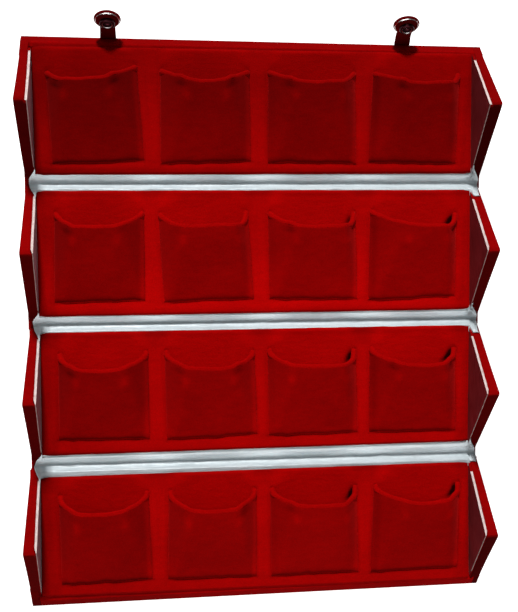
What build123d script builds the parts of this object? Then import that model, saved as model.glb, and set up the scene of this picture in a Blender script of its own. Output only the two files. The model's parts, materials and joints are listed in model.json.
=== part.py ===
from build123d import *
import os
from math import sqrt

# Folding earring organizer: four hinged panels that close to a square box.
# Origin at the centre of the back face of panel 2. The box lies open on its
# back: +X runs along the folds, +Y towards the straps, +Z out of the pockets.
# Millimetres throughout.

# Driving dimensions of the whole box
box_width = 270.0          # along the folds, over the end caps
panel_pitch = 82.4         # from one fold line to the next
panel_numbers = (1, 2, 3, 4)
root_panel = 2

# Layers of a panel, from its back
cover_thickness = 0.8      # velvet over the back, which is also the hinge
board_thickness = 2.6
pad_thickness = 2.1        # velvet covered insert that carries the pockets
pad_edge_radius = 0.9
strip_thickness = 0.6      # leatherette in the folds, velvet round the free edges
fold_clearance = 0.25      # from each mitre to the plane that halves a fold
pad_inset = 6.0            # pad's long edges from the fold lines
pad_end_gap = 0.2

# End caps and their linings
cap_thickness = 6.0
cap_edge_radius = 1.4
cap_apex_radius = 1.6
lining_thickness = 1.5
lining_drop = 0.5          # lining's slopes below the cap's
strip_tab_height = 8.5     # a lower leaf's ends climb the feet of the caps to here
strip_end_inset = 1.2      # strip's ends inside the outer faces of the caps
wrap_end_inset = 0.5

# Pockets
pocket_columns = (1, 2, 3, 4)
pocket_gap = 9.6           # between neighbours
pocket_end_gap = 6.7       # from the outer pockets to the linings
pocket_bottom = -29.5      # from the middle of the panel
pocket_mouth_corner = 23.8
lip_height = 14.5          # above the pad
lip_setback = 8.6          # the lip behind the corners of the mouth
lip_half_width = 15.4      # from the middle to the bends of the lip
belly_height = 5.0         # where the front turns under to the bottom seam
belly_setback = 3.6
pocket_round = 5.0         # radius where the front turns to the flanks
pocket_cloth = 1.3
hem_width = 2.4
hem_proud = 0.5

# Closure straps
strap_end_inset = 48.0     # from each end of the box to its strap
strap_thickness = 1.3
strap_neck_width = 9.2
strap_end_diameter = 12.6
strap_length = 19.0        # from its hinge to the far end
strap_lean = 21.0          # degrees outward of upright, as it stands when open
strap_hinge_out = 0.8      # hinge line outside the free edge
strap_hinge_up = 0.5
strap_rise_length = 5.5    # length over which it lifts to clear the snap

# Press snaps
stud_flange_diameter = 10.4
stud_flange_height = 0.6
stud_post_diameter = 3.6
stud_head_diameter = 4.0
stud_head_height = 0.9
stud_height = 2.4
socket_diameter = 8.8
socket_height = 2.0
socket_bore = 5.0
socket_gap = 0.2           # to the stud's flange when snapped
socket_chamfer = 0.6
snap_cap_diameter = 15.4
snap_cap_height = 2.6
cap_dome_height = 1.3
cap_dome_run = 2.6
stud_chamfer = 0.3
stud_shank_diameter = 2.6

half_pitch = panel_pitch / 2
half_width = box_width / 2
board_top = cover_thickness + board_thickness
pad_top = board_top + pad_thickness
strip_top = board_top + strip_thickness
cap_inner = half_width - cap_thickness
lining_inner = cap_inner - lining_thickness
pad_half_length = lining_inner - pad_end_gap
pad_edge = half_pitch - pad_inset
free_edge = half_pitch
pocket_room = 2 * lining_inner - 2 * pocket_end_gap
pocket_width = (pocket_room + pocket_gap) / len(pocket_columns) - pocket_gap
pocket_half_width = pocket_width / 2
pocket_spacing = pocket_width + pocket_gap
strap_places = {
    "left": strap_end_inset - half_width,
    "right": half_width - strap_end_inset,
}
# Where the mitred faces would reach the back plane
skin_line = half_pitch - fold_clearance * sqrt(2)
core_line = half_pitch - (fold_clearance + strip_thickness) * sqrt(2)
lining_line = core_line - lining_drop

snap_lift = stud_flange_height + socket_gap + socket_height
strap_disc_centre = strap_length - strap_end_diameter / 2
snap_place = strap_disc_centre + strap_hinge_up  # from the free edge, when closed

os.makedirs("parts", exist_ok=True)


def panel_centre(number):
    """Place of a panel's middle along Y."""
    return (root_panel - number) * panel_pitch


def save(part, name):
    """Label a finished piece and write it."""
    part.label = name
    export_step(part, f"parts/{name}.step")


def lengthwise(start):
    """Plane square to the folds, at a place along X: its x is Y, its y is Z."""
    return Plane(origin=(start, 0, 0), x_dir=(0, 1, 0), z_dir=(1, 0, 0))


def strip_outline(middle, side):
    """Section of a strip on one mitred edge, from the cover up to the pad."""
    points = [
        (skin_line - cover_thickness, cover_thickness),
        (skin_line - strip_top, strip_top),
        (pad_edge, strip_top),
        (pad_edge, board_top),
        (core_line - board_top, board_top),
        (core_line - cover_thickness, cover_thickness),
    ]
    return [(middle + side * y, z) for y, z in points]


def tab_outline(middle, side, height):
    """Section of a strip's end where it climbs the foot of a cap."""
    points = [
        (skin_line - cover_thickness, cover_thickness),
        (skin_line - height, height),
        (core_line - height, height),
        (core_line - cover_thickness, cover_thickness),
    ]
    return [(middle + side * y, z) for y, z in points]


def make_strip(middle, side, tab_height, end_inset):
    """Strip on one mitred edge, with both its ends on the feet of the caps."""
    strip_reach = half_width - end_inset
    with BuildPart() as strip:
        with BuildSketch(lengthwise(-lining_inner)):
            Polygon(*strip_outline(middle, side), align=None)
        extrude(amount=2 * lining_inner)
        for start in (-strip_reach, lining_inner):
            with BuildSketch(lengthwise(start)):
                Polygon(*tab_outline(middle, side, tab_height), align=None)
            extrude(amount=strip_reach - lining_inner)
    return strip.part


# Back covers: velvet under each panel, wrapped round the two free edges
top_wrap = make_strip(panel_centre(panel_numbers[0]), 1, strip_top, wrap_end_inset)
bottom_wrap = make_strip(panel_centre(panel_numbers[-1]), -1, strip_top, wrap_end_inset)
last_centre = panel_centre(panel_numbers[-1])
stud_places = [
    (place, last_centre - free_edge + snap_place) for place in strap_places.values()
]
for number in panel_numbers:
    middle = panel_centre(number)
    inner_reach = skin_line - cover_thickness
    with BuildPart() as back_cover:
        with BuildSketch(lengthwise(-half_width)):
            Polygon(
                (middle - skin_line, 0),
                (middle + skin_line, 0),
                (middle + inner_reach, cover_thickness),
                (middle - inner_reach, cover_thickness),
                align=None,
            )
        extrude(amount=box_width)
        if number == panel_numbers[0]:
            add(top_wrap)
        if number == panel_numbers[-1]:
            add(bottom_wrap)
            # Holes for the shanks of the snap studs
            with BuildSketch(Plane.XY):
                with Locations(*stud_places):
                    Circle(stud_shank_diameter / 2)
            extrude(amount=cover_thickness, mode=Mode.SUBTRACT)
    save(back_cover.part, f"back_cover_{number}")

# Back boards between the end caps, with mitred long edges
for number in panel_numbers:
    middle = panel_centre(number)
    with BuildPart() as back_board:
        with BuildSketch(lengthwise(-cap_inner)):
            Polygon(
                (middle - core_line + cover_thickness, cover_thickness),
                (middle + core_line - cover_thickness, cover_thickness),
                (middle + core_line - board_top, board_top),
                (middle - core_line + board_top, board_top),
                align=None,
            )
        extrude(amount=2 * cap_inner)
        if number == panel_numbers[-1]:
            with BuildSketch(Plane.XY.offset(cover_thickness)):
                with Locations(*stud_places):
                    Circle(stud_shank_diameter / 2)
            extrude(amount=board_thickness, mode=Mode.SUBTRACT)
    save(back_board.part, f"back_board_{number}")

# Insert pads
for number in panel_numbers:
    with BuildPart() as insert_pad:
        with Locations((0, panel_centre(number), board_top)):
            Box(
                2 * pad_half_length,
                2 * pad_edge,
                pad_thickness,
                align=(Align.CENTER, Align.CENTER, Align.MIN),
            )
        fillet(
            insert_pad.faces().sort_by(Axis.Z)[-1].edges(), radius=pad_edge_radius
        )
    save(insert_pad.part, f"insert_pad_{number}")

# Fold strips: one leaf on each side of each fold, meeting at the fold line
for fold in panel_numbers[:-1]:
    for leaf_name, number, side, tab_height in (
        ("upper", fold, -1, strip_top),
        ("lower", fold + 1, 1, strip_tab_height),
    ):
        leaf = make_strip(panel_centre(number), side, tab_height, strip_end_inset)
        save(leaf, f"fold_strip_{fold}_{leaf_name}")

# End caps and linings: right-angled triangles whose slopes carry on the mitres
for number in panel_numbers:
    middle = panel_centre(number)
    for end_name, end in (("left", -1), ("right", 1)):
        with BuildPart() as end_cap:
            with BuildSketch(lengthwise(end * cap_inner)) as cap_face:
                Polygon(
                    (middle - core_line + cover_thickness, cover_thickness),
                    (middle + core_line - cover_thickness, cover_thickness),
                    (middle, core_line),
                    align=None,
                )
                fillet(
                    cap_face.vertices().sort_by(Axis.Y)[-1], radius=cap_apex_radius
                )
            extrude(amount=end * cap_thickness)
            outer_face = end_cap.faces().sort_by(Axis.X)[-1 if end > 0 else 0]
            slopes = outer_face.edges().sort_by(Axis.Z)[1:]
            fillet(slopes, radius=cap_edge_radius)
        save(end_cap.part, f"end_cap_{end_name}_{number}")

        with BuildPart() as end_lining:
            with BuildSketch(lengthwise(end * lining_inner)):
                Polygon(
                    (middle - pad_edge, board_top),
                    (middle + pad_edge, board_top),
                    (middle + pad_edge, lining_line - pad_edge),
                    (middle, lining_line),
                    (middle - pad_edge, lining_line - pad_edge),
                    align=None,
                )
            extrude(amount=end * lining_thickness)
        save(end_lining.part, f"end_lining_{end_name}_{number}")


# Pockets: a pouch on the pad, open at its slanting mouth, hemmed along the lip
lip_place = pocket_mouth_corner - lip_setback
belly_place = pocket_bottom + belly_setback
front_slope = (lip_height - belly_height) / (lip_place - belly_place)
flank_slope = (pocket_half_width - lip_half_width) / lip_height
belly_slope = belly_setback / belly_height
# The form carries on past the mouth and below the pad, and is cut back there
form_reach = pocket_mouth_corner + pocket_round
form_sink = 2 * pocket_cloth


def pouch_form(drawn_in):
    """Pouch's closed form, with its faces drawn in."""
    end_height = lip_height + front_slope * (form_reach - lip_place)
    crown_height = end_height + pocket_round
    crown_half_width = pocket_half_width - flank_slope * crown_height
    foot_half_width = pocket_half_width + flank_slope * form_sink
    with BuildPart() as form:
        with BuildSketch(Plane.YZ):
            Polygon(
                (pocket_bottom - belly_slope * form_sink, -form_sink),
                (belly_place, belly_height),
                (form_reach, end_height),
                (form_reach, -form_sink),
                align=None,
            )
            offset(amount=-drawn_in, kind=Kind.INTERSECTION)
        extrude(amount=foot_half_width + hem_width, both=True)
        with BuildSketch(Plane.XZ):
            Polygon(
                (-foot_half_width, -form_sink),
                (-crown_half_width, crown_height),
                (crown_half_width, crown_height),
                (foot_half_width, -form_sink),
                align=None,
            )
            offset(amount=-drawn_in, kind=Kind.INTERSECTION)
        extrude(amount=2 * form_reach, both=True, mode=Mode.INTERSECT)
        front = form.faces().sort_by(Axis.Z)[-1]
        fillet(front.edges().sort_by(Axis.Y)[:-1], radius=pocket_round - drawn_in)
    return form.part


mouth_tilt = Plane(
    origin=(0, pocket_mouth_corner, 0),
    x_dir=(1, 0, 0),
    z_dir=(0, lip_height, lip_setback),
)
pouch_outside = pouch_form(0.0)
pouch_inside = pouch_form(pocket_cloth)
hem_outside = pouch_form(-hem_proud)

with BuildPart() as hem:
    add(hem_outside)
    split(bisect_by=mouth_tilt.offset(-hem_width), keep=Keep.TOP)

with BuildPart() as pouch:
    add(pouch_outside)
    add(hem.part)
    add(pouch_inside, mode=Mode.SUBTRACT)
    split(bisect_by=mouth_tilt, keep=Keep.BOTTOM)
    split(bisect_by=Plane.XY, keep=Keep.TOP)

for number in panel_numbers:
    for column in pocket_columns:
        across = (column - (len(pocket_columns) + 1) / 2) * pocket_spacing
        with BuildPart() as pocket:
            with Locations((across, panel_centre(number), pad_top)):
                add(pouch.part)
        save(pocket.part, f"pocket_{number}_{column}")

# Closure straps, made about their hinge line in the pose they have when snapped
# shut: upright from panel 1's free edge, lifted outward to clear the snap
hinge_y = panel_centre(panel_numbers[0]) + free_edge + strap_hinge_out
inner_face = snap_lift - strap_hinge_out  # from the hinge line, outward
bead_radius = strap_thickness / 2
rest_turn = -strap_lean

with BuildPart() as strap_blank:
    with BuildSketch(Plane.YZ.offset(-strap_end_diameter / 2)):
        with BuildLine():
            Polyline(
                (-bead_radius, 0),
                (-bead_radius, bead_radius),
                (inner_face, strap_rise_length),
                (inner_face, strap_length),
                (inner_face + strap_thickness, strap_length),
                (inner_face + strap_thickness, strap_rise_length - bead_radius / 2),
                (bead_radius, 0),
            )
            ThreePointArc((bead_radius, 0), (0, -bead_radius), (-bead_radius, 0))
        make_face()
    extrude(amount=strap_end_diameter)
    # The neck and round end, seen square to the strap
    with BuildSketch(Plane.XZ.offset(-strap_length)):
        with Locations((0, (strap_disc_centre - bead_radius) / 2)):
            Rectangle(strap_neck_width, strap_disc_centre + bead_radius)
        with Locations((0, strap_disc_centre)):
            Circle(strap_end_diameter / 2)
    extrude(amount=2 * strap_length, mode=Mode.INTERSECT)

# Snap axis in the same frame: outward along +Y through the round end
snap_plane = Plane(
    origin=(0, inner_face, strap_disc_centre), x_dir=(1, 0, 0), z_dir=(0, 1, 0)
)
with BuildPart() as socket_blank:
    with BuildSketch(snap_plane):
        Circle(socket_diameter / 2)
    extrude(amount=-socket_height)
    chamfer(socket_blank.edges().group_by(Axis.Y)[0], length=socket_chamfer)
    with BuildSketch(snap_plane):
        Circle(socket_bore / 2)
    extrude(amount=-socket_height, mode=Mode.SUBTRACT)

with BuildPart() as cap_blank:
    with BuildSketch(snap_plane.offset(strap_thickness)):
        Circle(snap_cap_diameter / 2)
    extrude(amount=snap_cap_height)
    chamfer(
        cap_blank.edges().group_by(Axis.Y)[-1], length=cap_dome_height, length2=cap_dome_run
    )

for side_name, place in strap_places.items():
    for piece_name, blank in (
        ("strap", strap_blank),
        ("snap_socket", socket_blank),
        ("snap_cap", cap_blank),
    ):
        with BuildPart() as piece:
            with Locations(Location((place, hinge_y, strap_hinge_up), (rest_turn, 0, 0))):
                add(blank.part)
        save(piece.part, f"{piece_name}_{side_name}")

# Snap studs on the back of panel 4, under the straps when the box is shut
for side_name, stud_place in zip(strap_places, stud_places):
    with BuildPart() as snap_stud:
        with BuildSketch(Plane.XY):
            with Locations(stud_place):
                Circle(stud_flange_diameter / 2)
        extrude(amount=-stud_flange_height)
        with BuildSketch(Plane.XY):
            with Locations(stud_place):
                Circle(stud_post_diameter / 2)
        extrude(amount=-stud_height)
        with BuildSketch(Plane.XY.offset(-stud_height)):
            with Locations(stud_place):
                Circle(stud_head_diameter / 2)
        extrude(amount=stud_head_height)
        chamfer(snap_stud.edges().group_by(Axis.Z)[0], length=stud_chamfer)
        with BuildSketch(Plane.XY):
            with Locations(stud_place):
                Circle(stud_shank_diameter / 2)
        extrude(amount=board_top)
    save(snap_stud.part, f"snap_stud_{side_name}")
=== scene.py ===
"""Folding earring organizer box: its looks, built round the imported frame. Metres, and mm in the tables."""
import json
from math import cos, exp, pi, radians, sin, sqrt

import bmesh
import bpy
from mathutils import Matrix, Vector, noise


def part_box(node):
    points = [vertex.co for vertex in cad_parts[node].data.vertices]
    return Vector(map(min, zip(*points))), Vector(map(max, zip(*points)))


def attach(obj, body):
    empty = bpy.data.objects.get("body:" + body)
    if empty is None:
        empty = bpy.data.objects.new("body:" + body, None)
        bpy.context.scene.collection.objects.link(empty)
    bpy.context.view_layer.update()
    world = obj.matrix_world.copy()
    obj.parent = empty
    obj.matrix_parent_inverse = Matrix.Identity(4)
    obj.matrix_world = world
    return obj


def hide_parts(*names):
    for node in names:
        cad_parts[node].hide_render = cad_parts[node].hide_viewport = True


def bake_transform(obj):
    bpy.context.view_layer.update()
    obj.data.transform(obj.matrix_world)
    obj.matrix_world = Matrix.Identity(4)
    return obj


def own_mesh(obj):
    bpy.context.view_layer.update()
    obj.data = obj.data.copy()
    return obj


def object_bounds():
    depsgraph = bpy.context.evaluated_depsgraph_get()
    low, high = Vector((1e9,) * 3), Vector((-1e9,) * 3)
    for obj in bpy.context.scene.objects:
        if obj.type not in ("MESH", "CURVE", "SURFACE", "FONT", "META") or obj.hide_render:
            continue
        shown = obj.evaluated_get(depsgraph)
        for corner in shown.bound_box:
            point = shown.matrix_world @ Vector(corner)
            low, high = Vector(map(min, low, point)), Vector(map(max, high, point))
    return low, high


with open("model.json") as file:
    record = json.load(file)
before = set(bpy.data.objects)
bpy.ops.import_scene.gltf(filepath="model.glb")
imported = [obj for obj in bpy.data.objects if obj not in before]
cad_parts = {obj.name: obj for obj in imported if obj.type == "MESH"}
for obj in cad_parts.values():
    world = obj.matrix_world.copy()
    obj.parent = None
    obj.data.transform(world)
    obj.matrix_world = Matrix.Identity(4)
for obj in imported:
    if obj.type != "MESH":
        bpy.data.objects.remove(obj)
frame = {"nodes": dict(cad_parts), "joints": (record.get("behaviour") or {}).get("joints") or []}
cad_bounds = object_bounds()
scene = bpy.context.scene
MM = 0.001

# Places read from the frame; those of panel 2 start at its own middle, the origin
PANELS = (1, 2, 3, 4)
COLUMNS = (1, 2, 3, 4)
FOLDS = PANELS[:-1]
SIDES = (-1, 1)
ENDS = {"left": -1, "right": 1}
joints = {joint["name"]: joint for joint in frame["joints"]}
fold_y = {fold: joints[f"fold_{fold}"]["pos_m"][1] for fold in FOLDS}
pitch = fold_y[1] - fold_y[2]
half_pitch = pitch / 2
panel_y = {number: (2 - number) * pitch for number in PANELS}

cover_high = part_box("back_cover_2")[1]
pad_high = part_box("insert_pad_2")[1]
board_low, board_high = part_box("back_board_2")
lining_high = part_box("end_lining_left_2")[1]
half_width = cover_high[0]
cover_top = cover_high[2]
board_top = board_high[2]
pad_top = pad_high[2]
pad_edge = pad_high[1]
lining_inner = -lining_high[0]
lining_line = lining_high[2]
strip_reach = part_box("fold_strip_1_lower")[1][0]
skin_line = cover_high[1]  # mitred faces meet the back plane here
core_line = board_high[1] + board_low[2]
strip_thickness = (skin_line - core_line) / sqrt(2)


def panel(number):
    """Name of a panel's body."""
    return f"panel_{number}"


# Meshes
def mesh_object(name, points, faces, materials):
    """Smooth object from points and faces."""
    mesh = bpy.data.meshes.new(name)
    mesh.from_pydata([tuple(point) for point in points], [], faces)
    mesh.validate()
    mesh.update()
    built = bpy.data.objects.new(name, mesh)
    scene.collection.objects.link(built)
    for material in materials:
        mesh.materials.append(material)
    mesh.polygons.foreach_set("use_smooth", [True] * len(mesh.polygons))
    return built


def grid_faces(rows, columns, closed=False):
    """Quads of a grid stored row by row; closed joins the last column to the first."""
    faces = []
    for start in range(0, (rows - 1) * columns, columns):
        above = start + columns
        for column in range(columns if closed else columns - 1):
            after = (column + 1) % columns
            faces.append((start + column, start + after, above + after, above + column))
    return faces


def grid_object(name, rows, materials):
    """Object from rows of points."""
    points = [point for row in rows for point in row]
    return mesh_object(name, points, grid_faces(len(rows), len(rows[0])), materials)


def thicken(built, thickness, offset=-1):
    """Give a sheet its thickness, behind its face unless offset."""
    modifier = built.modifiers.new("thickness", "SOLIDIFY")
    modifier.thickness = thickness
    modifier.offset = offset
    modifier.use_even_offset = False
    bpy.context.view_layer.update()
    evaluated = built.evaluated_get(bpy.context.evaluated_depsgraph_get())
    mesh = bpy.data.meshes.new_from_object(evaluated)
    built.modifiers.clear()
    sheet = built.data
    built.data = mesh
    bpy.data.meshes.remove(sheet)


def ripple(point, size, seed):
    """Smooth noise from about -1 to 1 with features of a size in mm."""
    return noise.noise(Vector(point) / (size * MM) + Vector((seed, 1.7 * seed, -seed)))


def sign(value):
    """Which side of the middle a place is on."""
    return 1 if value > 0 else -1


def clamp(value, low=0, high=1):
    """A value kept between two limits."""
    return min(high, max(low, value))


def between(first, second, share):
    """Value at a share of the way from the first to the second."""
    return first + (second - first) * share


def ease(low, high, value):
    """Smooth rise from 0 at low to 1 at high."""
    share = clamp((value - low) / (high - low))
    return share * share * (3 - 2 * share)


def bell(value, centre, width):
    """Smooth bump of height 1 about a centre."""
    return exp(-(((value - centre) / width) ** 2))


def soft_min(first, second, width):
    """Smaller of two values, with a rounded changeover."""
    near = max(width - abs(first - second), 0) / width
    return min(first, second) - near * near * width / 4


def set_tone(built, tone_at):
    """Store how much lighter or darker the colour is painted at each vertex; most of it is painted light and
    shade.
    """
    layer = built.data.attributes.new("tone", "FLOAT", "POINT")
    layer.data.foreach_set("value", [tone_at(vertex.co) for vertex in built.data.vertices])


def spread(low, high, count):
    """Evenly spaced values, both ends included."""
    return [low + (high - low) * step / (count - 1) for step in range(count)]


def circle(centre, first, second, steps):
    """Points round a centre, from two radii at right angles."""
    angles = [2 * pi * step / steps for step in range(steps)]
    return [centre + first * cos(angle) + second * sin(angle) for angle in angles]


# Materials
class Shader:
    """A material's nodes; an input is named with _ for each space."""

    def __init__(self, name, **settings):
        self.material = bpy.data.materials.new(name)
        self.material.use_nodes = True
        self.tree = self.material.node_tree
        self.places = self.node("ShaderNodeTexCoord")
        self.finish(**settings)

    def feed(self, socket, value):
        """Give a socket its value or link."""
        if isinstance(value, bpy.types.NodeSocket):
            self.tree.links.new(value, socket)
        else:
            socket.default_value = value

    def fill(self, node, inputs):
        for name, value in inputs.items():
            self.feed(node.inputs[name.replace("_", " ")], value)
        return node

    def node(self, kind, **inputs):
        return self.fill(self.tree.nodes.new(kind), inputs)

    def finish(self, **inputs):
        """Give the Principled shader its inputs, and return the material."""
        self.fill(self.tree.nodes["Principled BSDF"], inputs)
        return self.material

    def noise(self, size, detail=2, stretch=(1, 1, 1), roughness=0.5):
        """Noise with features of a given size in mm, from 0 to 1."""
        mapped = self.node("ShaderNodeMapping", Vector=self.places.outputs["Object"], Scale=stretch)
        return self.node(
            "ShaderNodeTexNoise", Vector=mapped.outputs["Vector"], Scale=1 / size / MM,
            Detail=detail, Roughness=roughness,
        ).outputs["Fac"]

    def facing(self):
        """How far the surface faces up the box, from -1 to 1."""
        return self.node("ShaderNodeSeparateXYZ", Vector=self.places.outputs["Normal"]).outputs["Y"]

    def ramp(self, factor, *stops):
        """Colour ramp from (place, colour) pairs."""
        made = self.node("ShaderNodeValToRGB", Fac=factor)
        elements = made.color_ramp.elements
        while len(elements) < len(stops):
            elements.new(0.5)
        for element, (place, colour) in zip(elements, stops):
            element.position = place
            element.color = (*colour, 1)
        return made.outputs["Color"]

    def shades(self, factor, colour, *stops):
        """Ramp of one colour made lighter or darker, from (place, multiple) pairs."""
        return self.ramp(factor, *[
            (place, tuple(channel * multiple for channel in colour)) for place, multiple in stops
        ])

    def math(self, operation, *values):
        made = self.tree.nodes.new("ShaderNodeMath")
        made.operation = operation
        for socket, value in zip(made.inputs, values):
            self.feed(socket, value)
        return made.outputs["Value"]

    def mix(self, factor, first, second, blend="MIX"):
        made = self.tree.nodes.new("ShaderNodeMix")
        made.data_type = "RGBA"
        made.blend_type = blend
        return self.fill(made, {"Factor": factor, "A": first, "B": second}).outputs["Result"]

    def toned(self, colour, shade=1):
        """A colour made lighter or darker by a shade factor and by the stored tone of painted light and
        shade.
        """
        tone = self.node("ShaderNodeAttribute")
        tone.attribute_name = "tone"
        factor = self.math("MULTIPLY", self.math("ADD", tone.outputs["Fac"], 1), shade)
        grey = self.node("ShaderNodeCombineColor", Red=factor, Green=factor, Blue=factor)
        return self.mix(1, colour, grey.outputs["Color"], "MULTIPLY")

    def bump(self, height, distance, strength, **under):
        """Normal of a relief some mm deep, over another one that is given as Normal."""
        return self.node(
            "ShaderNodeBump", Height=height, Distance=distance * MM, Strength=strength, **under
        ).outputs["Normal"]


def velvet(name, colour, sheen=0.3, contrast=0.16, down_shade=0.35):
    """Pile fabric: brushed patches, streaks, specks; painted shade where it faces down the box."""
    shader = Shader(
        name, Roughness=1, Sheen_Weight=sheen, Sheen_Roughness=0.45,
        Sheen_Tint=(1, 0.02, 0.02, 1), Specular_IOR_Level=0.02,
    )
    patches = shader.noise(35, 3, (1, 1.5, 1), 0.55)
    streaks = shader.noise(6, 2, (1, 2.6, 1))
    pile = shader.noise(0.7, 2, roughness=0.7)
    base = shader.shades(patches, colour, (0.28, 1 - contrast), (0.52, 1), (0.74, 1 + contrast))
    base = shader.mix(0.35, base, shader.shades(streaks, colour, (0.3, 0.78), (0.7, 1.2)))
    base = shader.mix(0.3, base, shader.shades(pile, colour, (0.32, 0.55), (0.66, 1.35)))
    # painted shade: darker where the surface faces down the box, away from the key lamp
    down_shade_factor = shader.node(
        "ShaderNodeMapRange", Value=shader.facing(), From_Min=-0.7, From_Max=-0.12,
        To_Min=1 - down_shade, To_Max=1,
    )
    down_shade_factor.interpolation_type = "SMOOTHSTEP"
    return shader.finish(
        Base_Color=shader.toned(base, down_shade_factor.outputs["Result"]),
        Normal=shader.bump(pile, 0.25, 0.55, Normal=shader.bump(streaks, 0.35, 0.5)),
    )


def make_leatherette():
    """Silvery white coated cloth, finely grained, with long creases and a little grime."""
    shader = Shader(
        "leatherette_white", Metallic=0.1, Roughness=0.42, Coat_Weight=0.12, Coat_Roughness=0.35,
        Specular_IOR_Level=0.45,
    )
    creases = shader.noise(6, 4, (0.22, 1.6, 1.6), 0.62)
    mottle = shader.noise(1.6, 3, (0.6, 1, 1), 0.6)
    grain = shader.noise(0.6, 2)
    grime = shader.noise(18, 3, (0.6, 1, 1))
    clean = (0.74, 0.82, 0.85)
    dull = (0.58, 0.66, 0.69)
    base = shader.ramp(grime, (0.3, dull), (0.55, clean), (0.8, (0.82, 0.87, 0.88)))
    base = shader.mix(0.45, base, shader.ramp(creases, (0.36, dull), (0.5, clean)))
    base = shader.mix(0.22, base, shader.ramp(mottle, (0.36, dull), (0.56, clean)))
    coarse = shader.bump(mottle, 0.3, 0.5, Normal=shader.bump(creases, 1.1, 0.8))
    return shader.finish(
        Base_Color=shader.toned(base), Normal=shader.bump(grain, 0.12, 0.4, Normal=coarse)
    )


def make_satin():
    """Lining cloth with a soft gloss, a pale bloom seen edge on and a fine cross weave."""
    shader = Shader(
        "lining_satin", Roughness=0.42, Sheen_Weight=0.45, Sheen_Roughness=0.12,
        Sheen_Tint=(0.85, 0.72, 0.8, 1), Specular_IOR_Level=0.2,
    )
    threads = shader.noise(0.9, 1, (1, 0.12, 1))
    clouds = shader.noise(20, 3)
    base = shader.ramp(clouds, (0.3, (0.1, 0.005, 0.007)), (0.7, (0.17, 0.01, 0.014)))
    warm = shader.ramp(threads, (0.35, (0.055, 0.005, 0.007)), (0.65, (0.19, 0.045, 0.05)))
    return shader.finish(
        Base_Color=shader.toned(shader.mix(0.3, base, warm)),
        Normal=shader.bump(threads, 0.15, 0.3, Normal=shader.bump(clouds, 0.6, 0.25)),
    )


def make_card_edge():
    """Pinkish white cut edge of the lining card, with painted shade on the lower slope."""
    shader = Shader("card_edge", Roughness=0.7)
    fibres = shader.noise(0.8, 3, (1, 0.3, 0.3))
    clean = shader.ramp(fibres, (0.25, (0.62, 0.45, 0.42)), (0.6, (0.88, 0.73, 0.7)))
    # painted shade: the edge facing down the box gets a dark colour
    shaded_edge = shader.ramp(fibres, (0.25, (0.14, 0.08, 0.07)), (0.6, (0.34, 0.26, 0.24)))
    upper = shader.math("GREATER_THAN", shader.facing(), 0)
    return shader.finish(
        Base_Color=shader.mix(upper, shaded_edge, clean), Normal=shader.bump(fibres, 0.2, 0.4)
    )


def make_board():
    """Grey pulp board inside the panels."""
    shader = Shader("pulp_board", Roughness=0.85)
    flecks = shader.noise(1.2, 4)
    return shader.finish(
        Base_Color=shader.ramp(flecks, (0.3, (0.33, 0.28, 0.22)), (0.7, (0.5, 0.44, 0.36))),
        Normal=shader.bump(flecks, 0.2, 0.5),
    )


def make_metal(name, colour, roughness):
    """Plated snap metal with fine turning marks."""
    shader = Shader(name, Metallic=1)
    marks = shader.noise(0.6, 3, (1, 1, 4))
    return shader.finish(
        Base_Color=shader.shades(marks, colour, (0.3, 0.8), (0.7, 1)),
        Roughness=shader.math("MULTIPLY_ADD", marks, 0.15, roughness),
        Normal=shader.bump(marks, 0.04, 0.3),
    )


CAP_RED = (0.305, 0.0006, 0.0009)
# the caps take the strongest painted shade on their down-facing slopes
cap_velvet = velvet("velvet_caps", CAP_RED, down_shade=0.78)
cover_velvet = velvet("velvet_cover", CAP_RED, down_shade=0.3)
# painted light: the pads and hems are the same velvet as the caps and pockets, given a lighter colour
lit_pad_velvet = velvet("velvet_pad_lit", (0.42, 0.0006, 0.0006))
pocket_velvet = velvet("velvet_pocket", (0.31, 0.0005, 0.0005), contrast=0.22, down_shade=0.2)
strap_velvet = velvet("velvet_strap", (0.11, 0.0015, 0.002), sheen=0.15, down_shade=0.3)
leatherette = make_leatherette()
satin = make_satin()
card_edge = make_card_edge()
board = make_board()
snap_metal = make_metal("snap_plating", (0.62, 0.6, 0.6), 0.22)
snap_rim = make_metal("snap_rim", (0.8, 0.78, 0.77), 0.14)
snap_enamel = make_metal("snap_enamel", (0.05, 0.012, 0.016), 0.35)

for number in PANELS:
    frame["nodes"][f"back_board_{number}"].data.materials[0] = board


# How the real box is uneven, in mm further out than even
CAP_STAND = {
    -1: ((2.3, 1.7, 1.1), (1.1, 0, 0.5), (0, 0, 0.2), (1.1, 1.1, 1.7)),
    1: ((0.5, 0.3, 0), (-0.5, -0.5, -0.5), (-0.8, -0.5, -1.7), (-1.1, -1.1, -0.2)),
}  # left and right caps at the foot of the upper slope, the apex and the foot of the lower slope
PAD_EDGES = {
    1: ((-0.5, -1.2), (0.2, 0.9), (0.5, 1.5), (-1.8, 0)),
    -1: ((1.4, 0), (0.8, -0.5), (-0.3, -2.2), (0, 0)),
}  # upper and lower long edges of the pads, each at its left and right ends
FREE_EDGES = {(1, 1): (1.9, -0.2), (4, -1): (2.5, 0.5)}  # wraps of the free edges, left and right
# How the end caps and their lining cards are made
LINING_FOOT_OUT = 1.2 * MM
CAP_FOOT_IN = 0.6 * MM
CARD_EDGE = {1: 1.35 * MM, -1: 0.45 * MM}  # card edge left bare on the upper and lower slopes
CARD_EDGE_FOOT = {-1: 6.2 * MM, 1: 8.5 * MM}  # below this the cap's velvet covers it, left and right
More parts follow.
